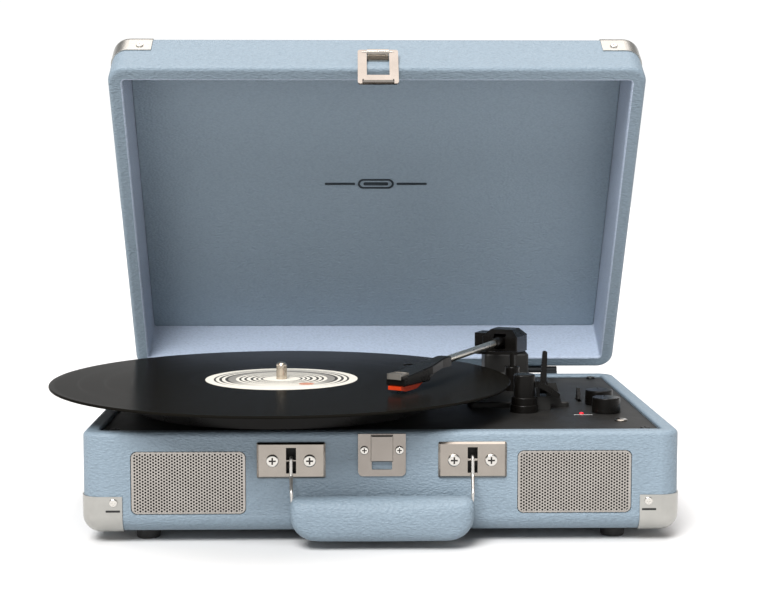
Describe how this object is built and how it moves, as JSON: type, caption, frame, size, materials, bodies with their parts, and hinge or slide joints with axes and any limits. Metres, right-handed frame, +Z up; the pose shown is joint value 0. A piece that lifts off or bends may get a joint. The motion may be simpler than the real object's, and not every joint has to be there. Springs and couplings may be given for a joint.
{
  "type": "suitcase record player",
  "caption": "Portable record player in a vinyl-covered carrying case with an open lid, front speakers, a belt-driven platter with a disc on it, a pivoted tonearm and a folding handle.",
  "frame": {"origin": "middle of the case's footprint, on the plane that the four rubber feet stand on", "axes": "+X to the listener's right along the front of the case, +Y from the front towards the hinges, +Z up"},
  "size_m": [0.3948, 0.3407, 0.3118],
  "materials": {
    "vinyl_blue": "pebbled leatherette",
    "liner_blue": "pebbled leatherette",
    "emblem": "satin",
    "black_deck": "fine matt grain",
    "black_plastic": "satin",
    "nickel": "bright nickel plate",
    "corner_steel": "satin nickel plate",
    "grille_metal": "perforated",
    "screw_black": "black zinc",
    "spindle_metal": "turned",
    "arm_metal": "satin anodised",
    "steel_parts": "bright",
    "stylus_red": "translucent gloss",
    "led_red": "lit lens",
    "rubber_black": "matt",
    "mat_felt": "felt",
    "record_vinyl": "grooved gloss",
    "label_paper": "printed paper",
    "cone_paper": "matt",
    "board_green": "solder mask",
    "socket_metal": "plated",
    "socket_plastic": "moulded"
  },
  "bodies": {
    "case": {"base_case": "vinyl_blue", "deck_plate": "black_deck", "deck_screws": "screw_black", "tonearm_base_plate": "black_deck", "tonearm_pivot_block": "black_deck", "spindle_bearing": "spindle_metal", "drive_motor": "steel_parts", "drive_belt": "rubber_black", "circuit_board": "board_green", "speaker_grille_left": "grille_metal", "speaker_grille_right": "grille_metal", "speaker_baskets": "steel_parts", "speaker_cones": "cone_paper", "speaker_magnets": "steel_parts", "handle_plates": "nickel", "latch_catch": "nickel", "front_screws": "nickel", "base_corners": "corner_steel", "case_small_screws": "nickel", "rubber_feet": "rubber_black", "socket_panel": "black_deck", "line_out_sockets": "socket_metal", "power_socket": "socket_plastic", "headphone_socket": "nickel", "power_led": "led_red", "control_potentiometers": "socket_plastic", "arm_rest_post": "black_plastic", "cue_lift_guide": "black_plastic", "lever_bracket": "black_deck", "hinge_base_leaves": "nickel", "hinge_pins": "nickel"},
    "lid": {"lid_shell": "vinyl_blue", "lid_liner": "liner_blue", "lid_emblem": "emblem", "lid_corners": "corner_steel", "lid_small_screws": "nickel", "hinge_lid_leaves": "nickel", "hasp_strap": "nickel"},
    "hasp": {"hasp_frame": "nickel"},
    "handle": {"handle_grip": "vinyl_blue", "handle_wires": "nickel"},
    "platter": {"platter": "black_plastic", "platter_mat": "mat_felt", "spindle": "spindle_metal", "vinyl_record": "record_vinyl", "record_label": "label_paper"},
    "motor_rotor": {"motor_pulley": "spindle_metal"},
    "tonearm_carriage": {"tonearm_housing": "black_plastic", "tonearm_pivot_pins": "steel_parts"},
    "tonearm": {"tonearm_tube": "arm_metal", "headshell": "black_plastic", "cartridge": "black_plastic", "stylus_holder": "stylus_red", "stylus_tip": "steel_parts"},
    "cue_lever": {"cue_lever": "black_plastic"},
    "cue_lift": {"cue_lift_bar": "black_plastic"},
    "arm_clip": {"arm_clip": "black_plastic"},
    "volume_knob": {"volume_knob": "black_plastic"},
    "tone_knob": {"tone_knob": "black_plastic"},
    "speed_lever": {"speed_lever": "black_plastic"}
  },
  "joints": [
    {"name": "lid_hinge", "type": "hinge", "parent": "case", "child": "lid", "pos_m": [0, 0.1305, 0.0703], "axis": [-1, 0, 0], "range_deg": [-16, 31]},
    {"name": "hasp_swing", "type": "hinge", "parent": "lid", "child": "hasp", "pos_m": [0, 0.00653, 0.30089], "axis": [-1, 0, 0], "range_deg": [0, 120]},
    {"name": "handle_swing", "type": "hinge", "parent": "case", "child": "handle", "pos_m": [0, -0.1279, 0.0512], "axis": [-1, 0, 0], "range_deg": [0, 100]},
    {"name": "platter_spin", "type": "hinge", "parent": "case", "child": "platter", "pos_m": [-0.064, -0.0255, 0.075], "axis": [0, 0, -1], "continuous": true},
    {"name": "motor_spin", "type": "hinge", "parent": "case", "child": "motor_rotor", "pos_m": [-0.12145, 0.02271, 0.075], "axis": [0, 0, -1], "continuous": true},
    {"name": "tonearm_swing", "type": "hinge", "parent": "case", "child": "tonearm_carriage", "pos_m": [0.093, 0.074, 0.0996], "axis": [0, 0, 1], "range_deg": [-13, 24.5]},
    {"name": "tonearm_lift", "type": "hinge", "parent": "tonearm_carriage", "child": "tonearm", "pos_m": [0.093, 0.074, 0.0996], "axis": [-0.9143, 0.4051, 0], "range_deg": [0, 7]},
    {"name": "cue_lever_tilt", "type": "hinge", "parent": "case", "child": "cue_lever", "pos_m": [0.108, -0.03, 0.08], "axis": [-1, 0, 0], "range_deg": [0, 45]},
    {"name": "cue_lift", "type": "slide", "parent": "case", "child": "cue_lift", "axis": [0, 0, 1], "range_m": [0, 0.00553]},
    {"name": "arm_clip_swing", "type": "hinge", "parent": "case", "child": "arm_clip", "pos_m": [0.1048, -0.041, 0.084], "axis": [0, -1, 0], "range_deg": [0, 110]},
    {"name": "volume_turn", "type": "hinge", "parent": "case", "child": "volume_knob", "pos_m": [0.1475, -0.045, 0.07], "axis": [0, 0, -1], "range_deg": [0, 280]},
    {"name": "tone_turn", "type": "hinge", "parent": "case", "child": "tone_knob", "pos_m": [0.148, -0.012, 0.07], "axis": [0, 0, -1], "range_deg": [-135, 135]},
    {"name": "speed_select", "type": "slide", "parent": "case", "child": "speed_lever", "axis": [0, 1, 0], "range_m": [-0.004, 0.004]}
  ],
  "couplings": [
    {"joint": "motor_spin", "follows": "platter_spin", "ratio": 17.522},
    {"joint": "cue_lift", "follows": "cue_lever_tilt", "m_per_rad": 0.007034},
    {"joint": "tonearm_lift", "follows": "cue_lever_tilt", "ratio": 0.15554}
  ]
}
